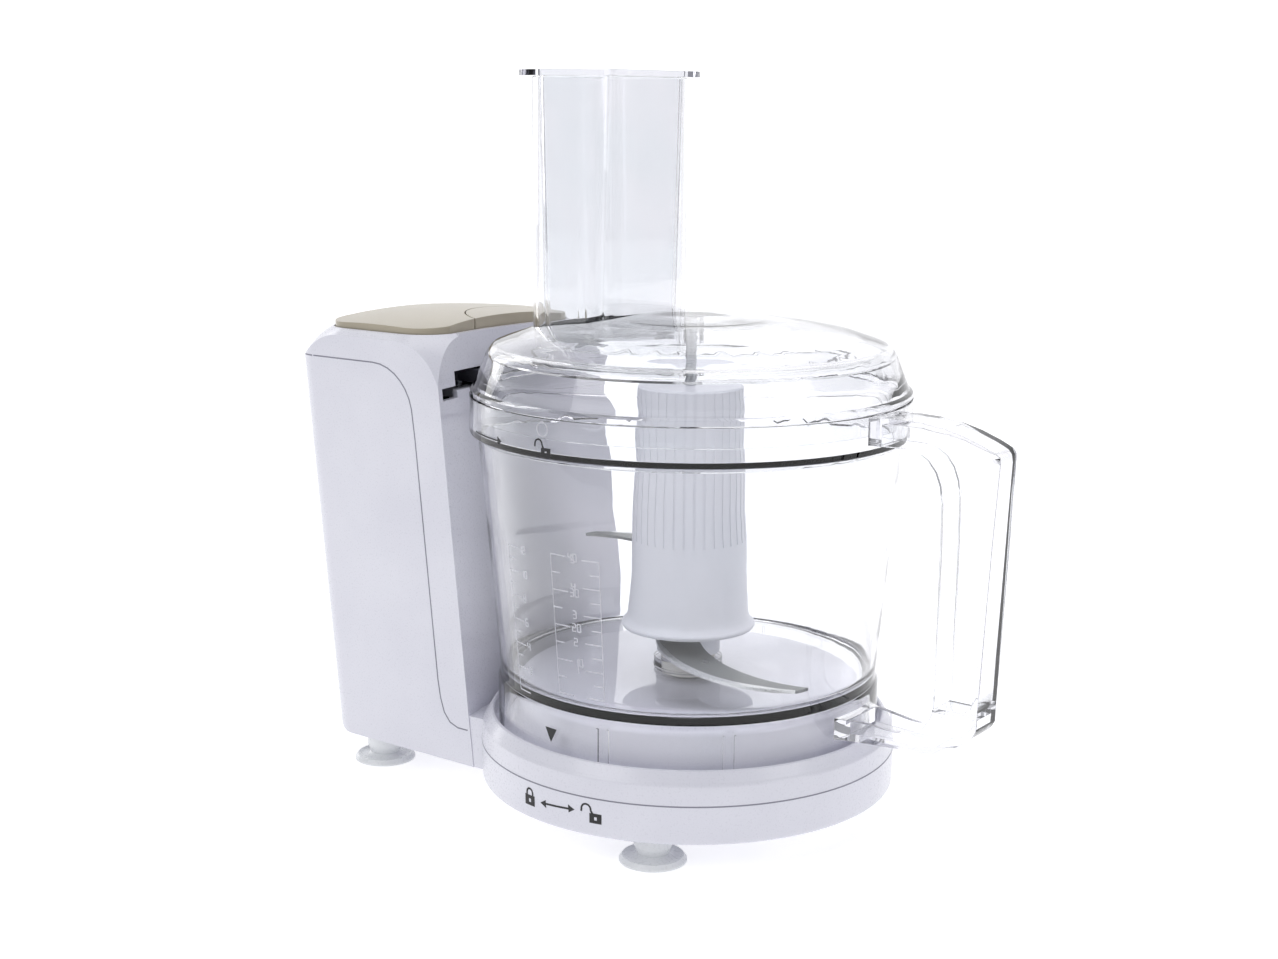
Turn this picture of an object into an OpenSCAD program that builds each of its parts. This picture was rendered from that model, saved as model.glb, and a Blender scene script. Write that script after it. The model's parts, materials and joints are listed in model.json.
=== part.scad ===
// Compact food processor: drive base with a leaning motor tower, clear bowl and lid,
// two-bladed knife and a belt drive. Millimetres, +Z up. The origin is the middle of the
// outline on the surface that the feet stand on, and +X points from the tower to the handle.

/* [Base] */
// Radius of the round base at its lower edge
base_r = 85.5; // [85:0.1:86]
// Height of the seam between the two housing shells
seam_z = 15.6; // [15:0.1:16.5]
// Radius of the lip around the bowl's seat
lip_r = 80.3; // [80:0.1:80.8]
// Height of that lip
lip_z = 28.5; // [27.5:0.1:29]
// Wall of the housing shells
wall = 2.5; // [2:0.1:2.6]
// Height of the suction feet
foot_h = 11; // [10:0.5:12]

/* [Tower] */
// Width of the tower
tower_w = 108.4; // [106:0.2:110]
// How far the tower leans back, in degrees
tower_lean = 6; // [5.8:0.1:6.2]
// Distance from the bowl's axis to the foot of the tower's back
tower_back = 156.2; // [155.5:0.1:157]
// Height of the tower's flat top
tower_top = 179.5; // [179:0.1:180.5]
// Height of the shell seam at the tower's back
cap_seam_z = 167; // [165:0.5:168]

/* [Bowl and lid] */
// Distance from the middle of the outline to the bowl's axis
bowl_x = 16.55; // [16:0.05:18]
// Outer radius of the bowl at its floor
bowl_floor_r = 77.5; // [77.2:0.1:77.8]
// Outer radius of the bowl just under its collar
bowl_top_r = 86; // [85.5:0.1:86.3]
// Height of the bowl's rim
rim_z = 160; // [159.5:0.1:160.5]
// Wall of the bowl and the lid
clear_wall = 2.1; // [1.9:0.1:2.3]
// Height of the middle of the lid's dome
dome_z = 191; // [190:0.5:192]
// Height of the feed tube's mouth
tube_top = 284.6; // [280:0.2:285]

/* [Drive] */
// Radius of the large belt pulley
big_pulley_r = 36; // [35:0.5:37]
// Radius of the motor's belt pulley
small_pulley_r = 7; // [6.5:0.25:7.5]
// Distance from the bowl's axis to the motor's axis
motor_x = 127; // [126.5:0.1:127.5]
// Tip radius of the blades
blade_r = 70; // [66:0.5:71]

/* [Hidden] */
$fn = 96;

fit_gap = 0.05;        // radial clearance of shafts, pins and inner joints
half_w = tower_w / 2;
front_mid = 76.8;      // tower depth at mid width, at its foot
front_edge = 84.2;     // tower depth at its sides
neck_step = 0.4;       // how far the neck stands inside the tower's sides
tower_corner = 12;     // rounding of the tower's back corners
front_arc_r = (pow(half_w, 2) + pow(front_edge - front_mid, 2)) / (2 * (front_edge - front_mid));
ball_r = 32.9;         // rounding of the tower's top
ball_y = 34;
ball_z = 151;
ball_front_x = -113;
ball_back_x = -146;
plate_z = 1;           // underside of the bottom plate
plate_t = 2.5;
seat_z = 23;           // floor of the groove that the bowl's skirt stands in
plateau_z = 40;        // top of the raised middle of the base
plateau_r = 72;
floor_z = 44.2;        // underside of the bowl's floor
floor_t = 2.4;
collar_z = 144.7;
collar_r = 89.3;
skirt_r = 78.6;
skirt_low = 24.2;
tube_x = -41;          // middle of the feed tube
tube_half_x = 19.5;
tube_half_y = 33.5;
tube_corner = 11;
tube_low = 172;
boss_angles = [-80, -35, 35, 80];
boss_ring_r = 68;
tower_boss = [[-148, 44], [-112, 44]];
foot_places = [[31, 66], [-132, 45]];
plate_screw_r = 1.5;
hub_top = 163;
spindle_r = 4;
shaft_r = 3;
lever_pivot = [-106, -22];
pivot_r = 1.6;
cord_x = -159;         // where the mains lead passes the tower's back
cord_z = 34;
cord_hole_r = 7;
cord_bore_r = 3.6;
button_stems = [[-140, -12], [-114, 13]];
white = [0.84, 0.84, 0.88];
beige = [0.78, 0.75, 0.69];
clear = [0.86, 0.87, 0.92, 0.35];
steel = [0.75, 0.75, 0.77];
dark = [0.16, 0.16, 0.17];
copper = [0.72, 0.42, 0.2];
hub_grey = [0.68, 0.69, 0.73];

// Places a part that is drawn around the bowl's axis with the base's lower edge at z = 0
module place() {
    translate([bowl_x, 0, foot_h]) children();
}

// Points of an arc in a plane
function arc(cx, cy, r, a0, a1, n) =
    [for (i = [0:n]) let (a = a0 + (a1 - a0) * i / n) [cx + r * cos(a), cy + r * sin(a)]];

// Rectangle with round corners, from true arcs
module round_rect(half_x, half_y, r) {
    square([2 * half_x, 2 * (half_y - r)], center = true);
    square([2 * (half_x - r), 2 * half_y], center = true);
    for (sx = [-1, 1]) {
        for (sy = [-1, 1]) {
            translate([sx * (half_x - r), sy * (half_y - r)]) circle(r);
        }
    }
}

module ring(r_out, r_in, h) {
    difference() {
        cylinder(r = r_out, h = h);
        translate([0, 0, -1]) cylinder(r = r_in, h = h + 2);
    }
}

// Copies at both sides of the plane of symmetry
module both_sides() {
    children();
    mirror([0, 1, 0]) children();
}

// ---- Housing ----

// Plan of the tower at its foot, measured from its back; d insets it
module tower_plan(d) {
    difference() {
        union() {
            translate([tower_corner, -(half_w - d)]) square([front_edge - 6, tower_w - 2 * d]);
            translate([d, -(half_w - tower_corner)])
                square([tower_corner, 2 * (half_w - tower_corner)]);
            for (s = [-1, 1]) {
                translate([tower_corner, s * (half_w - tower_corner)]) circle(tower_corner - d);
            }
        }
        translate([front_mid + front_arc_r, 0]) circle(front_arc_r + d, $fn = 180);
    }
}

// What the rounded top takes away; d insets it
module top_rounding(d) {
    r = ball_r - d;
    cut_z = ball_z;
    cut_h = 60;
    for (s = [-1, 1]) {
        difference() {
            translate([ball_front_x, s > 0 ? ball_y : -ball_y - 40, cut_z]) cube([50, 40, cut_h]);
            translate([ball_front_x, s * ball_y, ball_z]) sphere(r);
        }
        difference() {
            translate([ball_back_x - 50, s > 0 ? ball_y : -ball_y - 40, cut_z]) cube([50, 40, cut_h]);
            translate([ball_back_x, s * ball_y, ball_z]) sphere(r);
        }
        difference() {
            translate([ball_back_x, s > 0 ? ball_y : -ball_y - 40, cut_z])
                cube([ball_front_x - ball_back_x, 40, cut_h]);
            translate([ball_back_x - 10, s * ball_y, ball_z]) rotate([0, 90, 0])
                cylinder(r = r, h = ball_front_x - ball_back_x + 20);
        }
    }
    difference() {
        translate([ball_back_x - 50, -ball_y, cut_z]) cube([50, 2 * ball_y, cut_h]);
        translate([ball_back_x, -ball_y - 10, ball_z]) rotate([-90, 0, 0])
            cylinder(r = r, h = 2 * ball_y + 20);
    }
}

// Low block that carries the tower's sides into the round base; d insets it
module neck(d) {
    foot_cut = d > 0 ? 1 : 0;
    half = half_w - neck_step - d;
    translate([-110, -half, -foot_cut]) cube([48 + d, 2 * half, foot_cut + seat_z - 1 - d]);
}

// The tower as a solid; d insets every face but the foot
module tower_solid(d) {
    foot_cut = d > 0 ? 1 : 0;
    neck(d);
    difference() {
        intersection() {
            translate([-tower_back, 0, 0]) rotate([0, -tower_lean, 0]) translate([0, 0, -30])
                linear_extrude(240) tower_plan(d);
            translate([-190, -60, -foot_cut]) cube([130, 120, tower_top - d + foot_cut]);
        }
        top_rounding(d);
        if (d == 0) back_foot_rounding();
    }
}

// Rounds the lower back edge of the tower
module back_foot_rounding() {
    r = 14;
    x = -tower_back - 1.2 + r;
    difference() {
        translate([x - r - 6, -60, -1]) cube([r + 6, 120, r + 1]);
        translate([x, -61, r]) rotate([-90, 0, 0]) cylinder(r = r, h = 122);
    }
}

// Outside of the round base, with the bowl's seat
module base_solid() {
    rotate_extrude($fn = 180) polygon(concat(
        [[0, 0], [base_r - 1.5, 0]],
        arc(base_r - 1.5, 1.5, 1.5, -90, 0, 4),
        [[base_r + 0.3, seam_z]],
        arc(base_r - 3.2, seam_z + 6.5, 3, 15, 50, 4),
        [[lip_r + 1.6, lip_z - 0.3], [lip_r + 0.6, lip_z], [lip_r, lip_z - 0.6],
         [lip_r - 0.2, seat_z], [plateau_r + 0.5, seat_z], [plateau_r, seat_z + 1]],
        arc(plateau_r - 2.5, plateau_z - 2, 2, 0, 90, 4),
        [[0, plateau_z]]));
}

// Hollow inside the round base
module base_hollow() {
    rotate_extrude($fn = 180) polygon([[0, -1], [base_r - wall, -1], [base_r - wall, seam_z - 0.6],
        [lip_r - 0.3, seat_z - wall], [plateau_r - wall, seat_z - wall],
        [plateau_r - wall - 0.4, plateau_z - wall - 1], [plateau_r - wall - 1.4, plateau_z - wall],
        [0, plateau_z - wall]]);
}

// Side view of everything that belongs to the upper shell
module upper_region() {
    translate([0, 100, 0]) rotate([90, 0, 0]) linear_extrude(200) polygon(concat(
        [[110, seam_z], [-80, seam_z]],
        [[-84.4, 17.2], [-87.6, 21], [-89.6, 27], [-91, 35], [-101.7, 136]],
        arc(-125.5, cap_seam_z - 22.5, 22.5, 12, 90, 7),
        [[-200, cap_seam_z], [-200, 220], [110, 220]]));
}

module shells() {
    difference() {
        union() {
            tower_solid(0);
            base_solid();
        }
        base_hollow();
        tower_solid(wall);
    }
}

module lower_housing() {
    color(white) place() {
        difference() {
            shells();
            upper_region();
            cord_hole();
        }
        for (p = tower_boss) {
            both_sides() translate([p[0], p[1], plate_z + plate_t]) tower_pillar(p);
        }
    }
}

// Post for a bottom screw, tied to the tower's side wall by a rib
module tower_pillar(p) {
    difference() {
        union() {
            cylinder(r = 4.5, h = 22);
            translate([-1.2, 0, 0]) cube([2.4, half_w - wall / 2 - p[1], 22]);
        }
        translate([0, 0, -1]) cylinder(r = plate_screw_r + fit_gap, h = 15);
    }
}

module cord_hole() {
    translate([cord_x, 0, cord_z]) rotate([0, 90, 0]) cylinder(r = cord_hole_r, h = 30, center = true);
}

module upper_housing() {
    bearing_out = 12;
    color(white) place() {
        difference() {
            union() {
                intersection() {
                    shells();
                    upper_region();
                }
                translate([0, 0, seat_z - 1]) cylinder(r = bearing_out, h = plateau_z - seat_z);
                for (a = boss_angles) {
                    rotate([0, 0, a]) translate([boss_ring_r, 0, plate_z + plate_t]) base_pillar();
                }
                pivot_ledge();
            }
            translate([0, 0, seat_z - 2]) cylinder(r = 8 + fit_gap, h = plateau_z);
            interlock_slot();
            translate([0, 0, tower_top - wall - 1]) linear_extrude(8) button_plan(0.5);
        }
    }
}

module base_pillar() {
    difference() {
        cylinder(r = 4.2, h = seat_z - wall - plate_z - plate_t + 0.5);
        translate([0, 0, -1]) cylinder(r = plate_screw_r + fit_gap, h = 13);
    }
}

// Stepped opening that the interlock lever works in
module interlock_slot() {
    translate([-104, -51, 153.5]) cube([30, 12, 5]);
    translate([-104, -40, 156.5]) cube([30, 23, 8]);
}

// Ledge behind the opening that holds the lever's pivot
module pivot_ledge() {
    difference() {
        translate([lever_pivot[0] - 6, lever_pivot[1] - 6, 151]) cube([15, 12, 4]);
        translate([lever_pivot[0], lever_pivot[1], 150]) cylinder(r = pivot_r + fit_gap, h = 10);
    }
}

module bottom_plate() {
    gap = 0.3;
    half = half_w - neck_step - wall - gap;
    color([0.8, 0.8, 0.84]) place() {
        difference() {
            union() {
                translate([0, 0, plate_z]) cylinder(r = base_r - wall - gap, h = plate_t, $fn = 180);
                translate([-tower_back + wall + 8, -half, plate_z]) cube([80, 2 * half, plate_t]);
                translate([0, 0, plate_z]) cylinder(r = 11, h = 7);
            }
            for (a = boss_angles) {
                rotate([0, 0, a]) translate([boss_ring_r, 0, 0])
                    cylinder(r = plate_screw_r + 0.3, h = 10);
            }
            for (p = tower_boss) {
                both_sides() translate([p[0], p[1], 0]) cylinder(r = plate_screw_r + 0.3, h = 10);
            }
            translate([0, 0, plate_z + plate_t]) cylinder(r = 8 + fit_gap, h = 10);
            for (p = foot_places) {
                both_sides() translate([p[0], p[1], 0]) cylinder(r = 4 + fit_gap, h = 10);
            }
            for (i = [-4:4]) {
                translate([-motor_x + 5 * i - 1.25, -16, 0]) cube([2.5, 32, 10]);
            }
        }
    }
}

// Soft suction cup on a stem that plugs into the bottom plate
module suction_feet() {
    color([0.9, 0.9, 0.92]) place() {
        for (p = foot_places) {
            both_sides() translate([p[0], p[1], 0]) suction_foot();
        }
    }
}

module suction_foot() {
    rotate_extrude() polygon(concat(
        [[0, -foot_h + 2.4], [4, -foot_h + 1.8], [10, -foot_h + 0.9], [12.4, -foot_h],
         [13.2, -foot_h], [13.2, -foot_h + 0.8]],
        arc(9.5, -foot_h + 5.8, 4.2, -55, -140, 5),
        [[7.5, -foot_h + 6.5], [7.5, -0.2], [6.6, plate_z], [4, plate_z], [4, plate_z + plate_t + 0.2],
         [5, plate_z + plate_t + 0.4], [3, 6.5], [0, 6.5]]));
}

module pan_screw(length) {
    cylinder(r = plate_screw_r, h = length);
    translate([0, 0, -1.8]) difference() {
        cylinder(r = 3.2, h = 1.8);
        translate([-2, -0.4, -0.1]) cube([4, 0.8, 1]);
        translate([-0.4, -2, -0.1]) cube([0.8, 4, 1]);
    }
}

module base_screws() {
    color(steel) place() {
        for (a = boss_angles) {
            rotate([0, 0, a]) translate([boss_ring_r, 0, plate_z]) pan_screw(13);
        }
        for (p = tower_boss) {
            both_sides() translate([p[0], p[1], plate_z]) pan_screw(14);
        }
    }
}

// Bush in the tower's back that the mains lead passes through
module cord_bush() {
    color(dark) place() translate([cord_x, 0, cord_z]) rotate([0, -90, 0]) difference() {
        union() {
            translate([0, 0, -5]) cylinder(r = cord_hole_r - fit_gap, h = 9);
            translate([0, 0, 2.4]) cylinder(r = 9.5, h = 2.6);
            translate([0, 0, -5]) cylinder(r = 9, h = 2);
        }
        translate([0, 0, -10]) cylinder(r = cord_bore_r, h = 20);
    }
}

// ---- Buttons and switches ----

// Outline of the two buttons together; d grows it
module button_plan(d) {
    reach = sqrt(pow(ball_r, 2) - pow(tower_top - ball_z, 2)) - 1.2 + d;
    front = button_front + d;
    difference() {
        union() {
            translate([ball_back_x, -ball_y - reach])
                square([ball_front_x - ball_back_x, 2 * (ball_y + reach)]);
            translate([ball_back_x - reach, -ball_y])
                square([front + 8 - ball_back_x + reach, 2 * ball_y]);
            for (x = [ball_back_x, ball_front_x]) {
                for (s = [-1, 1]) {
                    translate([x, s * ball_y]) circle(reach);
                }
            }
        }
        translate([front + front_arc_r, 0]) circle(front_arc_r, $fn = 180);
    }
}

button_front = -101.2;
split_centre = [-90, 13];
split_r = 32;
button_low = tower_top - 0.6;
button_under = tower_top + 1.2;      // underside of the buttons' tops
button_wall = 2.2;
button_gap = 0.6;
crown_r = 420;
crown_top = tower_top + 5.8;

// What is above the crowned tops of the buttons
module above_crown() {
    translate([-128, 0, 0]) rotate_extrude() polygon(concat(
        [for (r = [0:8:80]) [r, crown_top - r * r / (2 * crown_r)]],
        [[80, crown_top + 10], [0, crown_top + 10]]));
}

// Crowned and hollow block that both buttons are cut from, with room under it
module button_block() {
    difference() {
        translate([0, 0, button_low]) linear_extrude(12) button_plan(0);
        above_crown();
    }
}

module button_room() {
    translate([0, 0, button_low - 1]) linear_extrude(button_under - button_low + 1)
        button_plan(-button_wall);
}

module at_split(r) {
    translate([split_centre[0], split_centre[1], 0]) cylinder(r = r, h = 250);
}

module button_stem(p) {
    low = bracket_z + 1.5;
    translate([p[0], p[1], low]) cylinder(r = 3, h = button_under + 0.5 - low);
}

module on_button() {
    color(beige) place() {
        difference() {
            button_block();
            at_split(split_r + button_gap);
            difference() {
                button_room();
                at_split(split_r + button_gap + button_wall);
            }
        }
        button_stem(button_stems[0]);
    }
}

module pulse_button() {
    color(beige) place() {
        difference() {
            intersection() {
                button_block();
                at_split(split_r);
            }
            intersection() {
                button_room();
                at_split(split_r - button_wall);
            }
        }
        button_stem(button_stems[1]);
    }
}

// Compression springs under the button stems
module button_springs() {
    color(steel) place() {
        for (p = button_stems) {
            translate([p[0], p[1], bracket_z + 2.1]) coil_spring(4.6, 0.5, 10.8, 5);
        }
    }
}

module coil_spring(r, wire_r, h, turns) {
    steps = 16 * turns;
    sides = 6;
    rise = h - 2 * wire_r;
    points = [for (i = [0:steps]) let (a = 360 * turns * i / steps, z = wire_r + rise * i / steps)
        for (j = [0:sides - 1]) let (b = 360 * j / sides)
            [(r + wire_r * cos(b)) * cos(a), (r + wire_r * cos(b)) * sin(a), z + wire_r * sin(b)]];
    skin = [for (i = [0:steps - 1]) for (j = [0:sides - 1]) let (k = (j + 1) % sides)
        [i * sides + j, (i + 1) * sides + j, (i + 1) * sides + k, i * sides + k]];
    first_end = [[for (j = [0:sides - 1]) j]];
    last_end = [[for (j = [sides - 1:-1:0]) steps * sides + j]];
    polyhedron(points, concat(skin, first_end, last_end), convexity = 10);
}

bracket_z = tower_top - wall - 9.5;

// Shelf under the tower's top that carries the springs and the switches
module switch_bracket() {
    color([0.9, 0.9, 0.86]) place() {
        difference() {
            union() {
                translate([-160, -40, bracket_z]) cube([59, 80, 2]);
                for (p = button_stems) {
                    for (x = [-11.4, 10.2]) {
                        translate([p[0] + x, p[1] - 4, bracket_z - 12]) cube([1.2, 8, 13]);
                    }
                }
            }
            for (p = button_stems) {
                translate([p[0], p[1], bracket_z - 1]) cylinder(r = 3.4, h = 5);
            }
        }
    }
}

module microswitch() {
    translate([-10, -3.2, -10.5]) cube([20, 6.4, 10]);
    translate([-1.2, -1.2, -0.6]) cube([2.4, 2.4, 1.4]);
    for (x = [-7, 0, 7]) {
        translate([x - 1.6, -0.4, -16]) cube([3.2, 0.8, 6]);
    }
}

module microswitches() {
    color(dark) place() {
        for (p = button_stems) {
            translate([p[0], p[1], bracket_z - 2.2]) microswitch();
        }
    }
}

lever_z = 158;
lever_h = 5.6;

// Rocker in the slot; its nose rests beside the cam on the lid's flange
module interlock_lever() {
    nose_tip = -88;
    arm_tip = -121;
    color([0.5, 0.5, 0.53]) place() {
        difference() {
            union() {
                translate([lever_pivot[0], lever_pivot[1], lever_z]) cylinder(r = 4.2, h = lever_h);
                translate([lever_pivot[0], lever_pivot[1] - 3.2, lever_z])
                    cube([nose_tip - lever_pivot[0], 5.2, lever_h]);
                translate([arm_tip, lever_pivot[1] - 2, lever_z])
                    cube([lever_pivot[0] - arm_tip, 3.6, lever_h]);
            }
            translate([lever_pivot[0], lever_pivot[1], lever_z - 1])
                cylinder(r = pivot_r + fit_gap, h = lever_h + 2);
        }
    }
}

module interlock_pivot() {
    color(steel) place()
        translate([lever_pivot[0], lever_pivot[1], 151.5]) cylinder(r = pivot_r, h = 14.5);
}

module interlock_switch() {
    color(dark) place() translate([lever_pivot[0] - 12.5, lever_pivot[1] - 3, lever_z + 2.8])
        rotate([-90, 0, 0]) microswitch();
}

// Board with the motor's rectifier and suppression parts
module circuit_board() {
    color([0.1, 0.35, 0.2]) place() {
        translate([-163, -32, 118]) cube([1.6, 64, 34]);
        translate([-161.4, -24, 124]) cube([9, 14, 18]);
        translate([-161.4, -4, 128]) rotate([0, 90, 0]) cylinder(r = 5, h = 9);
        translate([-161.4, 8, 122]) cube([11, 18, 10]);
    }
}

// ---- Motor ----

stack_z = 44;
stack_h = 34;
stack_r = 27;
bore_r = 14.6;

module at_motor() {
    place() translate([-motor_x, 0, 0]) children();
}

// Segment of a ring between two angles
module ring_segment(r_in, r_out, h, a0, a1) {
    rotate([0, 0, a0]) rotate_extrude(angle = a1 - a0)
        translate([r_in, 0]) square([r_out - r_in, h]);
}

module coil_space(gap) {
    for (a = [20, 120, 200, 300]) {
        translate([0, 0, -1]) ring_segment(14, 20.5 + gap, stack_h + 2, a - gap, a + 40 + gap);
    }
}

module motor_stator() {
    color([0.45, 0.46, 0.48]) at_motor() translate([0, 0, stack_z]) {
        difference() {
            intersection() {
                cylinder(r = stack_r, h = stack_h);
                translate([-26, -24, 0]) cube([52, 48, stack_h]);
            }
            translate([0, 0, -1]) cylinder(r = bore_r, h = stack_h + 2);
            coil_space(0.3);
            for (s = [-1, 1]) {
                translate([s * 21.8, 17.5, -1]) cylinder(r = 1.7, h = stack_h + 2);
                translate([s * 21.8, -17.5, -1]) cylinder(r = 1.7, h = stack_h + 2);
            }
        }
    }
}

// Two windings: bars in the slots and end turns above and below the stack
module field_coils() {
    end_h = 4.5;
    color(copper) at_motor() translate([0, 0, stack_z]) {
        for (pole = [20, 200]) {
            for (a = [pole, pole + 100]) {
                translate([0, 0, -end_h - 0.4])
                    ring_segment(15, 20.2, stack_h + 2 * (end_h + 0.4), a, a + 40);
            }
            for (z = [-end_h - 0.4, stack_h + 0.4]) {
                translate([0, 0, z]) ring_segment(15.3, 19.9, end_h, pole + 38, pole + 102);
            }
        }
    }
}

motor_bracket_low = 26;
motor_bracket_high = 98;

module motor_lower_bracket() {
    color(steel) at_motor() difference() {
        union() {
            translate([-24, -49, motor_bracket_low]) cube([48, 98, 2]);
            translate([0, 0, motor_bracket_low - 1.5]) cylinder(r = 8.5, h = 8);
            for (s = [-1, 1]) {
                translate([s * 21.8 - 3, -20.5, motor_bracket_low + 1])
                    cube([6, 6, stack_z - motor_bracket_low - 1.1]);
                translate([s * 21.8 - 3, 14.5, motor_bracket_low + 1])
                    cube([6, 6, stack_z - motor_bracket_low - 1.1]);
            }
        }
        translate([0, 0, motor_bracket_low - 5]) cylinder(r = 6 + fit_gap, h = 20);
        for (s = [-1, 1]) {
            translate([s * 21.8, 17.5, 0]) cylinder(r = 1.7, h = 60);
            translate([s * 21.8, -17.5, 0]) cylinder(r = 1.7, h = 60);
        }
    }
}

module motor_upper_bracket() {
    leg_h = motor_bracket_high - stack_z - stack_h - 0.1;
    color(steel) at_motor() difference() {
        union() {
            translate([-25, -21, motor_bracket_high]) cube([50, 42, 2]);
            translate([0, 0, motor_bracket_high - 4]) cylinder(r = 8.5, h = 8);
            for (s = [-1, 1]) {
                translate([s * 21.8 - 3, -20.5, stack_z + stack_h + 0.1]) cube([6, 6, leg_h + 1]);
                translate([s * 21.8 - 3, 14.5, stack_z + stack_h + 0.1]) cube([6, 6, leg_h + 1]);
            }
        }
        translate([0, 0, motor_bracket_high - 8]) cylinder(r = 6 + fit_gap, h = 20);
        for (s = [-1, 1]) {
            translate([s * 21.8, 17.5, 0]) cylinder(r = 1.7, h = 160);
            translate([s * 21.8, -17.5, 0]) cylinder(r = 1.7, h = 160);
        }
    }
}

// Long screws that clamp both brackets to the stator
module bracket_screws() {
    color(steel) at_motor() for (s = [-1, 1]) {
        for (y = [-17.5, 17.5]) {
            translate([s * 21.8, y, motor_bracket_low - 1.2]) cylinder(r = 1.6, h = 76);
            translate([s * 21.8, y, motor_bracket_high + 2]) cylinder(r = 3, h = 2);
        }
    }
}

module motor_bearings() {
    color([0.7, 0.55, 0.3]) at_motor() {
        translate([0, 0, motor_bracket_low - 1.5]) ring(6, shaft_r + fit_gap, 8);
        translate([0, 0, motor_bracket_high - 4]) ring(6, shaft_r + fit_gap, 8);
    }
}

module motor_shaft() {
    color(steel) at_motor() translate([0, 0, 6.5]) cylinder(r = shaft_r, h = 100);
}

module motor_armature() {
    slots = 12;
    color([0.5, 0.4, 0.32]) at_motor() difference() {
        union() {
            translate([0, 0, stack_z]) cylinder(r = bore_r - 0.5, h = stack_h);
            translate([0, 0, stack_z - 4]) cylinder(r = 11.5, h = stack_h + 7);
        }
        translate([0, 0, 0]) cylinder(r = shaft_r + 0.02, h = 120);
        for (i = [0:slots - 1]) {
            rotate([0, 0, i * 360 / slots]) translate([bore_r - 2.6, -0.8, stack_z - 1])
                cube([4, 1.6, stack_h + 2]);
        }
    }
}

module commutator() {
    bars = 24;
    color(copper) at_motor() difference() {
        translate([0, 0, 82]) cylinder(r = 8.5, h = 10);
        translate([0, 0, 80]) cylinder(r = shaft_r + 0.02, h = 20);
        for (i = [0:bars - 1]) {
            rotate([0, 0, i * 360 / bars]) translate([7.6, -0.25, 81.9]) cube([2, 0.5, 9]);
        }
    }
}

// Suction fan between the lower bracket and the windings
module cooling_fan() {
    fan_blades = 10;
    color([0.25, 0.25, 0.27]) at_motor() translate([0, 0, 34]) {
        difference() {
            union() {
                cylinder(r = 16.5, h = 1.2);
                cylinder(r = 6, h = 4.6);
                for (i = [0:fan_blades - 1]) {
                    rotate([0, 0, i * 360 / fan_blades]) translate([5, -0.5, 0]) cube([11, 1, 4]);
                }
            }
            translate([0, 0, -1]) cylinder(r = shaft_r + 0.02, h = 20);
        }
    }
}

module brush_holders() {
    color([0.72, 0.6, 0.3]) at_motor() both_sides() difference() {
        translate([-4.5, 9.4, 83.5]) cube([9, 12, 7.4]);
        translate([-3.1, 9, 84.9]) cube([6.2, 20, 4.6]);
    }
}

module carbon_brushes() {
    color(dark) at_motor() both_sides() translate([-3, 8.8, 85]) cube([6, 9, 4.4]);
}

pulley_z = 8;
belt_w = 9;
belt_t = 1.4;

module pulley(r, bore) {
    rotate_extrude() polygon([[bore, 0], [r + 1, 0], [r + 1, 0.8], [r, 1], [r, belt_w + 1.6],
        [r + 1, belt_w + 1.8], [r + 1, belt_w + 2.6], [bore, belt_w + 2.6]]);
}

module motor_pulley() {
    color([0.6, 0.6, 0.62]) at_motor() translate([0, 0, pulley_z])
        pulley(small_pulley_r - 0.25, shaft_r + 0.02);
}

module drive_pulley() {
    color([0.87, 0.87, 0.85]) place() translate([0, 0, pulley_z]) difference() {
        pulley(big_pulley_r - 0.25, spindle_r + 0.02);
        for (z = [-1, 7]) {
            translate([0, 0, z]) difference() {
                cylinder(r = big_pulley_r - 4, h = 6);
                translate([0, 0, -1]) cylinder(r = 9, h = 8);
            }
        }
        for (i = [0:5]) {
            rotate([0, 0, 60 * i]) translate([19.5, 0, -1]) cylinder(r = 6.5, h = 20);
        }
    }
}

// Outline of the belt around both pulleys, grown by d
module belt_outline(d) {
    side = asin((big_pulley_r - small_pulley_r) / motor_x);
    sag = 0.9995;      // keeps the straight runs from only grazing the round ones
    big = (big_pulley_r + d) * sag;
    small = (small_pulley_r + d) * sag;
    circle(big_pulley_r + d, $fn = 180);
    translate([-motor_x, 0]) circle(small_pulley_r + d);
    polygon([[-sin(side) * big, cos(side) * big],
        [-motor_x - sin(side) * small, cos(side) * small],
        [-motor_x - sin(side) * small, -cos(side) * small],
        [-sin(side) * big, -cos(side) * big]]);
}

module drive_belt() {
    color(dark) place() translate([0, 0, pulley_z + 1.3]) linear_extrude(belt_w) difference() {
        belt_outline(belt_t);
        belt_outline(0);
    }
}

module spindle() {
    flats = 6.2;
    color(steel) place() {
        translate([0, 0, 4]) cylinder(r = spindle_r, h = 91);
        intersection() {
            translate([0, 0, 95]) cylinder(r = spindle_r, h = 13);
            translate([-flats / 2, -10, 95]) cube([flats, 20, 13]);
        }
    }
}

module spindle_bearings() {
    color([0.7, 0.55, 0.3]) place() {
        translate([0, 0, plate_z + plate_t + 0.1]) ring(8, spindle_r + fit_gap, 4.2);
        translate([0, 0, 22]) ring(8, spindle_r + fit_gap, 13);
    }
}

module spindle_seal() {
    color(dark) place() translate([0, 0, 35.4]) ring(8, spindle_r + fit_gap, 4);
}

// ---- Bowl ----

function bowl_wall_r(z) = bowl_floor_r + (bowl_top_r - bowl_floor_r) * (z - 46) / (143 - 46);

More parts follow.
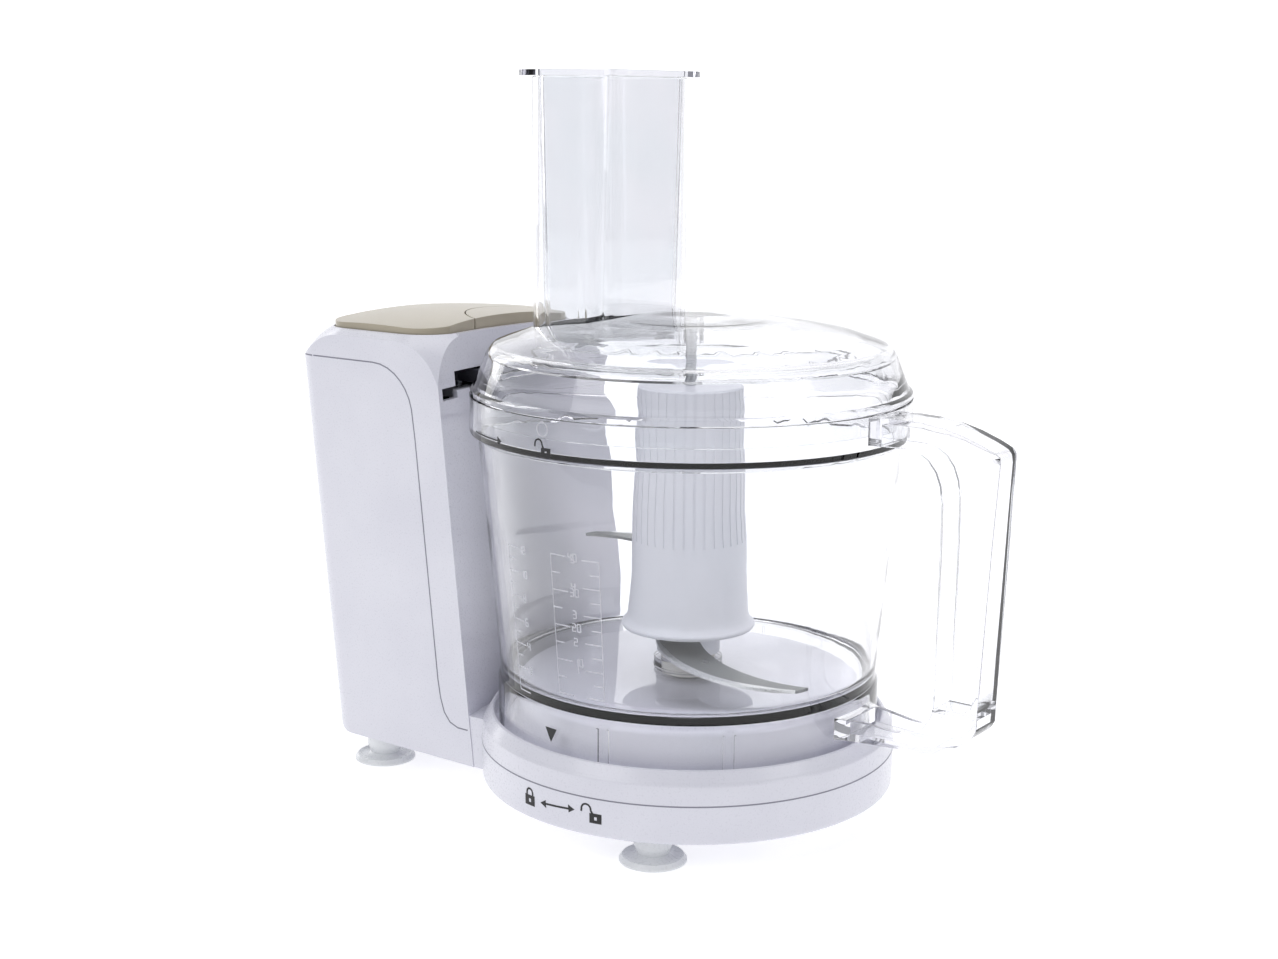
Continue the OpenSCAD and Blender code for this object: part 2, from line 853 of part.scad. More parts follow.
module bowl() {
    corner = 5;
    inner_low = bowl_wall_r(52) - clear_wall;
    color(clear) place() {
        rotate_extrude($fn = 180) polygon(concat(
            [[14, floor_z], [skirt_r - clear_wall, floor_z], [skirt_r - clear_wall, skirt_low],
             [skirt_r, skirt_low], [skirt_r, floor_z - 1.4], [bowl_floor_r + 0.3, floor_z],
             [bowl_floor_r, 46], [bowl_top_r, 143],
             [collar_r - 0.5, collar_z], [collar_r, collar_z + 0.6], [collar_r, rim_z],
             [collar_r - clear_wall, rim_z], [collar_r - clear_wall, 147.2],
             [bowl_top_r - clear_wall + 0.1, 144.6], [inner_low, 52]],
            arc(inner_low - corner, floor_z + floor_t + corner, corner, 0, -90, 6),
            [[14.2, floor_z + floor_t], [14.2, 50], [11 + fit_gap, 50], [11 + fit_gap, floor_z - 1],
             [14, floor_z - 1]]));
        for (a = [-80.6, -77.4, -44.7, -41.5, 99.4, 102.6, 135.3, 138.5]) {
            rotate([0, 0, a]) translate([skirt_r - 0.4, -0.5, 26]) cube([1.1, 1, 15]);
        }
    }
}

// Tube with a flange in the middle of the bowl's floor, around the spindle
module bowl_sleeve() {
    color([0.9, 0.9, 0.92]) place() rotate_extrude() polygon([[5.4, 41.6], [11, 41.6],
        [11, 50], [8.2, 51], [8.2, 94], [7.8, 94.6], [5.4, 94.6]]);
}

handle_wall = 2.3;
handle_web_z = 51;     // web across the channel at the grip's foot

// Side view of the handle around its finger gap
module handle_outline() {
    polygon([[88, 149.2], [88, 159.7], [100, 160.1], [109, 159.8], [118, 158.6], [126, 156.6],
        [133.5, 153.9], [138.8, 151.6], [140.6, 150], [140.8, 147.6], [136.5, 56], [136.2, 46.6],
        [134.9, 44], [131.6, 41], [127.8, 37.9], [123.6, 35.5], [118.4, 33.8], [112, 33.2],
        [78, 32.8], [78, 41.4], [91, 40.8], [100.6, 39.8], [106.4, 39.7], [110.4, 40.8],
        [113.9, 43.2], [116.4, 46.6], [117.9, 50.6], [118.4, 55], [118.9, 113], [118.7, 131],
        [117.9, 136.6], [115.9, 141.8], [112.6, 145.8], [108.4, 148.4], [103.4, 149.3]]);
}

// Plan of the handle, wide at its roots; d insets its sides
module handle_plan(d) {
    half = [[76, 13.8 - d], [84, 11.8 - d], [92, 10.3 - d], [104, 9.1 - d], [119, 8.6 - d],
        [136, 8 - d], [139.4, 7.5 - d], [142, 5.8 - d]];
    polygon(concat(half, [for (i = [len(half) - 1:-1:0]) [half[i][0], -half[i][1]]]));
}

// Channel that leaves the handle open towards the finger gap, in two rooms
module handle_channel() {
    polygon([[93, 140], [93, 157.4], [100, 157.7], [108.8, 157.4], [117.5, 156.2], [125.3, 154.3],
        [132.6, 151.7], [136.9, 149.7], [138.4, 146.6], [134.4, 60], [133, handle_web_z + 3],
        [129.4, handle_web_z + 0.8], [110, handle_web_z + 0.8], [110, 140]]);
    polygon([[84, 46], [84, 35.4], [111.8, 35.7], [117.6, 36.2], [122.4, 37.8], [126.2, 39.9],
        [130, 42.9], [133.6, 46.6], [134, handle_web_z - 0.8], [112, handle_web_z - 0.8],
        [108, 46]]);
}

module handle_prism(plan_inset) {
    intersection() {
        rotate([90, 0, 0]) linear_extrude(40, center = true) children();
        linear_extrude(200) handle_plan(plan_inset);
    }
}

module bowl_handle() {
    color(clear) place() {
        difference() {
            handle_prism(0) handle_outline();
            handle_prism(handle_wall) handle_channel();
            translate([0, 0, 20]) cylinder(r = skirt_r + 1.15, h = 30, $fn = 180);
            translate([0, 0, 140]) cylinder(r = collar_r + 0.1, h = 30, $fn = 180);
        }
    }
}

// ---- Blade unit ----

module blade_hub() {
    flutes = 36;
    bore = 8.2 + 0.5;
    top_r = 21.5;
    low_r = 24.6;
    color(hub_grey) place() {
        difference() {
            rotate_extrude() polygon(concat(
                [[bore, 52.4], [13, 52.4], [13, 63], [26.8, 63]],
                arc(26.2, 64.2, 1.2, -60, 80, 4),
                [[25, 67.5], [low_r, 72], [23.4, 100], [top_r, hub_top - 0.8], [top_r - 0.8, hub_top],
                 [2.6, hub_top], [2.6, hub_top - 8], [5, hub_top - 9], [spindle_r + fit_gap, 112],
                 [spindle_r + fit_gap, 98], [bore, 96]]));
            rotate_extrude() polygon([[14, 67], [22, 67], [19.4, 110], [18.4, 158], [8, 158], [8, 116],
                [11.5, 112], [11.5, 66]]);
            for (i = [0:flutes - 1]) {
                rotate([0, 0, i * 360 / flutes]) translate([top_r + 2.2, 0, 100]) rotate([0, -1.6, 0])
                    translate([-0.6, -0.45, 0]) cube([2, 0.9, 70]);
            }
            blade_cut();
        }
    }
}

module blade_cut() {
    grow = 0.05;
    lower_blade_shape(grow);
    upper_blade_shape(grow);
}

blade_t = 1.3;

// Crescent: outer arc minus a smaller one, with its tip at the blade's full radius
module crescent(reach, width) {
    intersection() {
        difference() {
            translate([reach / 2 - 8, 22]) circle(reach * 0.66);
            translate([reach / 2 - 2, 22 + width]) circle(reach * 0.66);
        }
        circle(reach);
        translate([0, -60]) square([100, 120]);
    }
}

module lower_blade_shape(grow) {
    rotate([0, 0, -22]) translate([0, 0, 60 - grow]) rotate([0, 7, 0])
        linear_extrude(blade_t + 2 * grow) difference() {
            crescent(blade_r + 0.5, 17);
            if (grow == 0) translate([33, -13]) circle(1.6);
        }
}

module upper_blade_shape(grow) {
    rotate([0, 0, 158]) translate([0, 0, 86 - grow]) rotate([0, -1.5, 0])
        linear_extrude(blade_t + 2 * grow) crescent(blade_r, 17);
}

module lower_blade() {
    color(steel) place() difference() {
        lower_blade_shape(0);
        cylinder(r = 11.6, h = 200);
    }
}

module upper_blade() {
    color(steel) place() difference() {
        upper_blade_shape(0);
        cylinder(r = 11.6, h = 200);
    }
}

// ---- Lid ----

module lid() {
    t = clear_wall;
    color(clear) place() {
        difference() {
            rotate_extrude($fn = 180) polygon(concat(
                [[84.6, 152], [86.4, 152], [86.6, rim_z + 0.2], [88.6, rim_z + 0.2], [89, rim_z + 0.6],
                 [89, 162.4], [88.4, 163], [87.6, 163.4], [82.6, 176]],
                arc(75, 173.4, 8, 18, 62, 4),
                [[66, 184.6], [50, 187.6], [33, 189.8], [16, dome_z - 0.2], [0, dome_z],
                 [0, dome_z - 13], [5, dome_z - 13], [5, dome_z - t], [16, dome_z - t - 0.3],
                 [33, 187.7], [50, 185.5], [65.6, 182.4]],
                arc(74.4, 172.6, 6, 62, 18, 4),
                [[80.4, 175.4], [84.6, 165]]));
            translate([0, 0, 100]) cylinder(r = 2.2 + fit_gap, h = 88);
            translate([tube_x, 0, 170]) linear_extrude(40)
                round_rect(tube_half_x + 0.05, tube_half_y + 0.05, tube_corner);
        }
        lid_cam();
    }
}

cam_angle = 199;      // towards the lever's nose

// Raised stretch of the flange that pushes the interlock lever in
module lid_cam() {
    intersection() {
        translate([0, 0, rim_z + 0.2]) ring(92, 88.5, 2.2);
        rotate([0, 0, cam_angle]) translate([80, -4, 150]) cube([20, 8, 20]);
    }
}

module lid_pin() {
    color(steel) place() {
        translate([0, 0, hub_top - 6]) cylinder(r = 2.2, h = 30.5);
    }
}

module feed_tube() {
    color(clear) place() translate([tube_x, 0, tube_low]) linear_extrude(tube_top - tube_low)
        difference() {
            round_rect(tube_half_x, tube_half_y, tube_corner);
            round_rect(tube_half_x - clear_wall, tube_half_y - clear_wall, tube_corner - clear_wall);
        }
}

// Open cup that fits the feed tube and narrows downwards, with a flange to stop it
module pusher() {
    gap = 0.5;
    taper = 2.8;
    t = 1.6;
    low = 178;
    half_x = tube_half_x - clear_wall - gap;
    half_y = tube_half_y - clear_wall - gap;
    r = tube_corner - clear_wall - gap;
    color(clear) place() translate([tube_x, 0, 0]) difference() {
        union() {
            tapered_block(low, tube_top + 1, half_x, half_y, r, taper);
            translate([0, 0, tube_top + 0.2]) linear_extrude(2.3) round_rect(23.5, 38, 13);
        }
        tapered_block(low + t, tube_top + 9, half_x - t, half_y - t, r - t, taper);
    }
}

// Upright block with round corners, narrower by the taper on every side at its foot
module tapered_block(z0, z1, half_x, half_y, r, taper) {
    hull() {
        translate([0, 0, z0]) linear_extrude(0.1)
            round_rect(half_x - taper, half_y - taper, r - taper, $fn = 48);
        translate([0, 0, z1 - 0.1]) linear_extrude(0.1) round_rect(half_x, half_y, r, $fn = 48);
    }
}

lower_housing();
upper_housing();
bottom_plate();
suction_feet();
base_screws();
cord_bush();
on_button();
pulse_button();
button_springs();
switch_bracket();
microswitches();
interlock_lever();
interlock_pivot();
interlock_switch();
circuit_board();
motor_stator();
field_coils();
motor_lower_bracket();
motor_upper_bracket();
bracket_screws();
motor_bearings();
brush_holders();
carbon_brushes();
motor_shaft();
motor_armature();
commutator();
cooling_fan();
motor_pulley();
drive_belt();
drive_pulley();
spindle();
spindle_bearings();
spindle_seal();
bowl();
bowl_handle();
bowl_sleeve();
blade_hub();
lower_blade();
upper_blade();
lid();
feed_tube();
lid_pin();
pusher();
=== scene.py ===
import json
import math

import bmesh
import bpy
from mathutils import Matrix, Vector
from mathutils.bvhtree import BVHTree


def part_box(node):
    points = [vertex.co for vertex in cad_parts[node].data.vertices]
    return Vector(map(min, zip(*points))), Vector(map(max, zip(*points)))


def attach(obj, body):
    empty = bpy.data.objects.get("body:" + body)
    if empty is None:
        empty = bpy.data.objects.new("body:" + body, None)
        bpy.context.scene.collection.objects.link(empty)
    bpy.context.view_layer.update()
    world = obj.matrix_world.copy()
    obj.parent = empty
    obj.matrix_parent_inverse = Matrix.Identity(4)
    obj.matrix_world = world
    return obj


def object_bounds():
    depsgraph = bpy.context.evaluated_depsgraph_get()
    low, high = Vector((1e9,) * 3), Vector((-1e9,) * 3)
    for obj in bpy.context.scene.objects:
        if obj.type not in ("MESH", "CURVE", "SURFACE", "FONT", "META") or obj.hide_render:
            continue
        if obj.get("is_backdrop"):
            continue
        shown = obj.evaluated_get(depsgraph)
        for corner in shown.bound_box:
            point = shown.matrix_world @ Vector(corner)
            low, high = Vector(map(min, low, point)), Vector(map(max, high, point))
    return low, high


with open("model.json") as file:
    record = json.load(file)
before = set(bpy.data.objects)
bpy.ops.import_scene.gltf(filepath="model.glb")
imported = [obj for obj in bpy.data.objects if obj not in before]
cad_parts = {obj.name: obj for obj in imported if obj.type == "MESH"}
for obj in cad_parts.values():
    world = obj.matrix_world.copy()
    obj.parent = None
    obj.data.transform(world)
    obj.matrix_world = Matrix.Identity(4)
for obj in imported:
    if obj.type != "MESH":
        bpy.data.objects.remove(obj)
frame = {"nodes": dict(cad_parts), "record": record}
bpy.context.view_layer.update()

# ---- Places: x, y, z in mm from the bowl's axis and the base's lower edge ----

JOINTS = {j["name"]: j for j in frame["record"]["behaviour"]["joints"]}
AXIS_X = JOINTS["blade_spin"]["pos_m"][0]
BASE_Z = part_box("lower_housing")[0].z
MM = 0.001


def at(x, y, z):
    return Vector((AXIS_X + x * MM, y * MM, BASE_Z + z * MM))


def round_at(radius, azimuth, z):
    a = math.radians(azimuth)
    return at(radius * math.cos(a), radius * math.sin(a), z)


def arc(cx, cy, r, a0, a1, n):
    turn = [math.radians(a0 + (a1 - a0) * i / n) for i in range(n + 1)]
    return [(cx + r * math.cos(t), cy + r * math.sin(t)) for t in turn]


# ---- Materials ----


def srgb(r, g, b):
    """Linear colour from 0-255 screen values."""
    out = []
    for v in (r, g, b):
        c = v / 255
        out.append(c / 12.92 if c <= 0.04045 else ((c + 0.055) / 1.055) ** 2.4)
    return (*out, 1.0)


def start(name):
    m = bpy.data.materials.new(name)
    m.use_nodes = True
    nt = m.node_tree
    nt.nodes.clear()
    out = nt.nodes.new("ShaderNodeOutputMaterial")
    shader = nt.nodes.new("ShaderNodeBsdfPrincipled")
    nt.links.new(shader.outputs[0], out.inputs["Surface"])
    return m, nt, shader, out


def noise(nt, scale, detail=2.0, stretch=(1, 1, 1)):
    coords = nt.nodes.new("ShaderNodeTexCoord")
    place = nt.nodes.new("ShaderNodeMapping")
    place.inputs["Scale"].default_value = [scale * s for s in stretch]
    n = nt.nodes.new("ShaderNodeTexNoise")
    n.inputs["Scale"].default_value = 1.0
    n.inputs["Detail"].default_value = detail
    nt.links.new(coords.outputs["Object"], place.inputs["Vector"])
    nt.links.new(place.outputs["Vector"], n.inputs["Vector"])
    return n.outputs["Fac"]


def ranged(nt, source, low, high, near=0.35, far=0.65):
    r = nt.nodes.new("ShaderNodeMapRange")
    r.inputs["From Min"].default_value = near
    r.inputs["From Max"].default_value = far
    r.inputs["To Min"].default_value = low
    r.inputs["To Max"].default_value = high
    nt.links.new(source, r.inputs["Value"])
    return r.outputs["Result"]


def tinted(nt, source, first, second):
    mix = nt.nodes.new("ShaderNodeMix")
    mix.data_type = "RGBA"
    mix.inputs[6].default_value = first
    mix.inputs[7].default_value = second
    nt.links.new(source, mix.inputs["Factor"])
    return mix.outputs[2]


def bumped(nt, height, strength, distance):
    b = nt.nodes.new("ShaderNodeBump")
    b.inputs["Strength"].default_value = strength
    b.inputs["Distance"].default_value = distance
    nt.links.new(height, b.inputs["Height"])
    return b.outputs["Normal"]


def finish(name, colour, tint, rough, *, grain=900, bump=0.1, depth=0.00005,
           stretch=(1, 1, 1), blotch=22, **sockets):
    """Colour that wanders between two tints, uneven gloss and a fine surface."""
    m, nt, shader, _ = start(name)
    cloud = noise(nt, blotch, 4)
    fine = noise(nt, grain, 3, stretch)
    nt.links.new(tinted(nt, ranged(nt, cloud, 0, 1), colour, tint), shader.inputs["Base Color"])
    nt.links.new(ranged(nt, fine, *rough), shader.inputs["Roughness"])
    nt.links.new(bumped(nt, fine, bump, depth), shader.inputs["Normal"])
    for socket, value in sockets.items():
        shader.inputs[socket.replace("_", " ")].default_value = value
    return m


def clear_finish(name, colour, rough, density=10.0):
    """Clear moulded plastic: it bends what is behind it, passes lamplight, darkens at its edges."""
    m, nt, shader, out = start(name)
    wave = noise(nt, 26, 2)
    smear = noise(nt, 160, 3)
    nt.links.new(ranged(nt, smear, *rough), shader.inputs["Roughness"])
    nt.links.new(bumped(nt, wave, 0.08, 0.0006), shader.inputs["Normal"])
    cast = tinted(nt, ranged(nt, wave, 0, 1), colour, srgb(251, 252, 253))
    nt.links.new(cast, shader.inputs["Base Color"])
    shader.inputs["Transmission Weight"].default_value = 1.0
    shader.inputs["IOR"].default_value = 1.46
    through = nt.nodes.new("ShaderNodeBsdfTransparent")
    through.inputs["Color"].default_value = srgb(250, 250, 252)
    path = nt.nodes.new("ShaderNodeLightPath")
    mix = nt.nodes.new("ShaderNodeMixShader")
    nt.links.new(path.outputs["Is Shadow Ray"], mix.inputs["Fac"])
    nt.links.new(shader.outputs[0], mix.inputs[1])
    nt.links.new(through.outputs[0], mix.inputs[2])
    nt.links.new(mix.outputs[0], out.inputs["Surface"])
    soak = nt.nodes.new("ShaderNodeVolumeAbsorption")
    soak.inputs["Color"].default_value = srgb(150, 148, 176)
    soak.inputs["Density"].default_value = density
    nt.links.new(soak.outputs[0], out.inputs["Volume"])
    return m


METAL = {"Metallic": 1.0}
TURNED = (0.3, 0.3, 14)
MATERIALS = {
    "housing_white": finish("housing_white", srgb(222, 222, 230), srgb(216, 216, 225), (0.26, 0.36),
                            grain=1400, bump=0.05, Coat_Weight=0.35, Coat_Roughness=0.12),
    "button_beige": finish("button_beige", srgb(176, 167, 147), srgb(171, 162, 142), (0.3, 0.33),
                           grain=1300, bump=0.006, Coat_Weight=0.12, Coat_Roughness=0.2),
    "clear_plastic": clear_finish("clear_plastic", srgb(253, 253, 254), (0.0, 0.03)),
    "hub_plastic": finish("hub_plastic", srgb(226, 227, 233), srgb(219, 221, 228), (0.3, 0.42),
                          grain=1100, bump=0.06),
    "natural_plastic": finish("natural_plastic", srgb(232, 231, 224), srgb(222, 220, 212),
                              (0.38, 0.5)),
    "blade_steel": finish("blade_steel", srgb(150, 152, 151), srgb(134, 136, 136), (0.34, 0.48),
                          grain=700, bump=0.12, stretch=(1, 12, 1), **METAL),
    "shaft_steel": finish("shaft_steel", srgb(186, 188, 191), srgb(170, 172, 176), (0.2, 0.34),
                          grain=500, bump=0.15, stretch=TURNED, **METAL),
    "zinc_steel": finish("zinc_steel", srgb(190, 193, 196), srgb(168, 172, 178), (0.26, 0.42),
                         blotch=160, grain=600, **METAL),
    "lamination_steel": finish("lamination_steel", srgb(118, 120, 126), srgb(96, 98, 104),
                               (0.34, 0.5), grain=260, bump=0.5, depth=0.0002,
                               stretch=(0.1, 0.1, 8), Metallic=0.8),
    "copper_wire": finish("copper_wire", srgb(196, 112, 62), srgb(160, 84, 44), (0.22, 0.36),
                          grain=420, bump=0.6, depth=0.0003, stretch=(0.4, 0.4, 5), Metallic=0.9),
    "bearing_bronze": finish("bearing_bronze", srgb(172, 138, 84), srgb(150, 116, 66), (0.3, 0.45),
                             grain=1800, bump=0.3, **METAL),
    "carbon": finish("carbon", srgb(40, 40, 42), srgb(28, 28, 30), (0.5, 0.65),
                     grain=2200, bump=0.3),
    "black_plastic": finish("black_plastic", srgb(34, 34, 37), srgb(24, 24, 27), (0.36, 0.5),
                            bump=0.2),
    "lever_grey": finish("lever_grey", srgb(72, 72, 80), srgb(58, 58, 66), (0.3, 0.42), bump=0.2),
    "foot_rubber": finish("foot_rubber", srgb(232, 234, 236), srgb(224, 226, 229), (0.24, 0.38),
                          bump=0.03),
    "black_rubber": finish("black_rubber", srgb(26, 26, 27), srgb(18, 18, 19), (0.55, 0.7),
                           grain=1500, bump=0.3),
    "board_green": finish("board_green", srgb(30, 96, 58), srgb(22, 78, 46), (0.3, 0.45),
                          blotch=300),
    "ink": finish("ink", srgb(22, 22, 24), srgb(30, 30, 32), (0.4, 0.55), grain=2600, bump=0.2),
    "frost": finish("frost", srgb(244, 244, 250), srgb(236, 236, 244), (0.3, 0.42),
                    grain=1500, Transmission_Weight=0.55, IOR=1.46),
    "seam_shade": finish("seam_shade", srgb(140, 140, 152), srgb(126, 126, 138), (0.5, 0.6)),
    "blade_edge": finish("blade_edge", srgb(232, 233, 232), srgb(214, 216, 216), (0.2, 0.34),
                         grain=900, bump=0.2, stretch=(14, 1, 1), **METAL),
}

# ---- CAD nodes: rounded edges and the record's finishes ----

SLOT_OF = {s["node"]: s["material_slot"] for s in frame["record"]["subparts"]}
ROUNDED = {
    "lower_housing": 0.0003, "upper_housing": 0.00028, "on_button": 0.0007, "pulse_button": 0.0007,
    "bowl": 0.00045, "lid": 0.0005, "feed_tube": 0.0006, "pusher": 0.0004, "bowl_handle": 0.0009,
    "blade_hub": 0.0003, "suction_feet": 0.0003, "interlock_lever": 0.0004, "bottom_plate": 0.0003,
    "cord_bush": 0.0005, "lid_pin": 0.0003,
}
SHARPEST = math.radians(32)


def round_edges(o, width, segments=3):
    weld = o.modifiers.new("weld", "WELD")
    weld.merge_threshold = 0.000002
    bevel = o.modifiers.new("round", "BEVEL")
    bevel.width = width
    bevel.segments = segments
    bevel.limit_method = "ANGLE"
    bevel.angle_limit = SHARPEST
    bevel.use_clamp_overlap = True
    normal = o.modifiers.new("normal", "WEIGHTED_NORMAL")
    normal.mode = "FACE_AREA"
    normal.weight = 60


for node, o in frame["nodes"].items():
    o.data.materials.clear()
    o.data.materials.append(MATERIALS[SLOT_OF[node]])
    if node in ROUNDED:
        o.data.polygons.foreach_set("use_smooth", [True] * len(o.data.polygons))
        if "custom_normal" in o.data.attributes:
            o.data.attributes.remove(o.data.attributes["custom_normal"])
        if "sharp_edge" in o.data.attributes:
            o.data.attributes.remove(o.data.attributes["sharp_edge"])
        round_edges(o, ROUNDED[node])

# ---- New pieces ----


def piece(name, bm, body, material):
    bmesh.ops.recalc_face_normals(bm, faces=bm.faces[:])
    me = bpy.data.meshes.new(name)
    bm.to_mesh(me)
    bm.free()
    me.materials.append(MATERIALS[material])
    o = bpy.data.objects.new(name, me)
    bpy.context.scene.collection.objects.link(o)
    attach(o, body)


def stroke(points, width):
    """Quads along a line of points, in the plane."""
    out = []
    for (x0, y0), (x1, y1) in zip(points, points[1:]):
        d = math.hypot(x1 - x0, y1 - y0)
        nx, ny = -(y1 - y0) / d * width / 2, (x1 - x0) / d * width / 2
        out.append([(x0 + nx, y0 + ny), (x0 - nx, y0 - ny), (x1 - nx, y1 - ny), (x1 + nx, y1 + ny)])
    return out


def rect(x0, y0, x1, y1):
    return [(x0, y0), (x1, y0), (x1, y1), (x0, y1)]


def wrapped(name, shapes, azimuth, z, radius, body, material, slot, proud=0.05, sunk=0.12):
    """Flat shapes laid round the bowl's axis as thin raised marks; radius is a function of z."""
    bm = bmesh.new()
    for shape in shapes:
        rings = []
        for lift in (proud, -sunk):
            ring = []
            for u, v in shape:
                r = radius(z + v)
                ring.append(bm.verts.new(round_at(r + lift, azimuth + math.degrees(u / r), z + v)))
            rings.append(ring)
        top, low = rings
        n = len(shape)
        bm.faces.new(top)
        bm.faces.new(low[::-1])
        for i in range(n):
            bm.faces.new((top[i], low[i], low[(i + 1) % n], top[(i + 1) % n]))
    piece(name, bm, body, material)


def swept(name, rings, body, material):
    """Closed bar through rings of four corners."""
    bm = bmesh.new()
    rings = [[bm.verts.new(corner) for corner in ring] for ring in rings]
    for near, far in zip(rings, rings[1:]):
        for k in range(4):
            bm.faces.new((near[k], near[(k + 1) % 4], far[(k + 1) % 4], far[k]))
    bm.faces.new(rings[0][::-1])
    bm.faces.new(rings[-1])
    piece(name, bm, body, material)


# Radii of the CAD surfaces that marks lie on
COLLAR_R = 89.35
SKIRT_R = 78.65


def band_r(z):
    return 85.5 + 0.3 * (z - 1.5) / 14.1


def wall_r(z):
    return 77.5 + 8.5 * (z - 46) / 97


PADLOCK = [rect(-1.9, -1.6, -0.45, 1.3), rect(0.45, -1.6, 1.9, 1.3), rect(-0.45, -1.6, 0.45, -0.7),
           rect(-0.45, 0.3, 0.45, 1.3)]
CLOSED = PADLOCK + stroke([(-1.15, 1.2)] + arc(0, 2.0, 1.15, 180, 0, 8) + [(1.15, 1.2)], 0.55)
SWUNG_SHACKLE = [(-0.9, 1.2), (-1.5, 2.0)] + arc(-3.0, 2.3, 1.5, 10, 190, 9) + [(-4.6, 1.4)]
OPENED = PADLOCK + stroke(SWUNG_SHACKLE, 0.55)
HEAD_TIP, HEAD_BACK, HEAD_HALF = 1.5, 1.4, 1.6


def scaled(shapes, k):
    return [[(x * k, y * k) for x, y in shape] for shape in shapes]


def arrow(length, rise, double, width):
    """An arrow that climbs by rise over its length, from the middle of its line."""
    bend = [(length * (t / 12 - 0.5), rise * (t / 12 - 0.5)) for t in range(13)]
    shapes = stroke(bend, width)
    slope = math.atan2(rise, length)
    for s in ((1, -1) if double else (1,)):
        tip = (s * (length / 2 + HEAD_TIP), s * (rise / 2 + HEAD_TIP * math.tan(slope)))
        back = (s * (length / 2 - HEAD_BACK), s * rise / 2)
        nx, ny = -math.sin(slope) * HEAD_HALF, math.cos(slope) * HEAD_HALF
        head = [tip, (back[0] + nx, back[1] + ny), (back[0] - nx, back[1] - ny)]
        shapes.append(head if s > 0 else head[::-1])
    return shapes


def flat_r(r):
    return lambda z: r


for name, shapes, azimuth, z, radius, body in (
        ("lock_mark_closed", scaled(CLOSED, 1.45), -100.2, 8.0, band_r, "drive_base"),
        ("lock_mark_open", scaled(OPENED, 1.35), -78.6, 7.8, band_r, "drive_base"),
        ("lock_arrow", arrow(14.0, 0.9, True, 0.75), -90.4, 9.0, band_r, "drive_base"),
        ("bowl_pointer", [[(0, -3.4), (3.1, 2.2), (-3.1, 2.2)]], -97, 34.4, flat_r(SKIRT_R),
         "bowl_unit"),
        ("lid_mark_open", scaled(OPENED, 1.2), -91.5, 147.6, flat_r(COLLAR_R), "bowl_unit"),
        ("lid_arrow", arrow(24, 0, False, 0.6), -116.7, 148.2, flat_r(COLLAR_R), "bowl_unit")):
    wrapped(name, shapes, azimuth, z, radius, body, "ink", "black_plastic")
wrapped("lid_dot", stroke(arc(0, 0, 2.6, 0, 360, 24), 0.6), -92.6, 156, flat_r(89.3), "bowl_unit",
        "frost", "clear_plastic", proud=0.15)

# ---- Shadow line between the housing shells ----

SEAM_Z = 15.6
CAP_Z = 167
SEAM_WIDTH = 0.55
SEAM_PROUD = 0.07
SEAM_SUNK = 0.3
BASE_SWEEP = 141       # degrees each way from the handle that the base stands clear of the tower
CORNER_X, CORNER_Y = -161.7, 42.2      # middle of the tower's round back corner, at the seam
RAY_START_BASE, RAY_START_SIDE, RAY_START_BACK = 100, 80, 50
RISE = Vector((0, 0, 1))

shell_verts, shell_faces = [], []
for node in ("lower_housing", "upper_housing"):
    o = frame["nodes"][node]
    first = len(shell_verts)
    shell_verts += [o.matrix_world @ v.co for v in o.data.vertices]
    shell_faces += [[first + i for i in f.vertices] for f in o.data.polygons]
shell = BVHTree.FromPolygons(shell_verts, shell_faces)


def seam_strip(name, spots):
    """Fine line on the housing; a spot is a point outside it, the way in and the way across."""
    rings = []
    for outside, inward, sideways in spots:
        reach = sideways * (SEAM_WIDTH * MM)
        hits = [shell.ray_cast(outside + shift, inward)[0] for shift in (reach, -reach)]
        if None in hits:
            continue
        middle = (hits[0] + hits[1]) / 2
        half = sideways * (SEAM_WIDTH / 2 * MM)
        face = middle - inward * (SEAM_PROUD * MM)
        root = middle + inward * (SEAM_SUNK * MM)
        rings.append((face + half, face - half, root - half, root + half))
    swept(name, rings, "drive_base", "seam_shade")


spots = []
for angle in range(-BASE_SWEEP, BASE_SWEEP + 1):
    a = math.radians(angle)
    way = Vector((math.cos(a), math.sin(a), 0))
    spots.append((at(0, 0, SEAM_Z) + way * (RAY_START_BASE * MM), -way, RISE))
seam_strip("seam_base", spots)

climb = [(-74.5, SEAM_Z), (-80, SEAM_Z), (-84.4, 17.2), (-87.6, 21), (-89.6, 27), (-91, 35),
         (-101.7, 136)]
climb += arc(-125.5, CAP_Z - 22.5, 22.5, 12, 90, 7) + [(-161, CAP_Z)]
for side, name in ((-1, "seam_side_0"), (1, "seam_side_1")):
    spots = []
    for i, (x, z) in enumerate(climb):
        (x0, z0), (x1, z1) = climb[max(i - 1, 0)], climb[min(i + 1, len(climb) - 1)]
        d = math.hypot(x1 - x0, z1 - z0)
        spots.append((at(x, side * RAY_START_SIDE, z), Vector((0, -side, 0)),
                      Vector((-(z1 - z0) / d, 0, (x1 - x0) / d))))
    seam_strip(name, spots)

spots = []
STEPS = 60
for i in range(STEPS + 1):
    a = math.radians(90 + 180 * i / STEPS)
    way = Vector((math.cos(a), math.sin(a), 0))
    y = 0 if i == STEPS / 2 else CORNER_Y if i < STEPS / 2 else -CORNER_Y
    spots.append((at(CORNER_X, y, CAP_Z) + way * (RAY_START_BACK * MM), -way, RISE))
seam_strip("seam_back", spots)

# ---- Graduations on the bowl ----


LONG_MARK, SHORT_MARK, MARK_HALF = 7.5, 4.2, 0.25
RELIEF = {"proud": 0.12, "sunk": 0.05}


def ladder(heights, long_every, side):
    shapes = []
    for i, h in enumerate(heights):
        reach = LONG_MARK if i % long_every == 0 else SHORT_MARK
        ends = sorted((0, side * reach))
        shapes.append(rect(ends[0], h - MARK_HALF, ends[1], h + MARK_HALF))
    return shapes


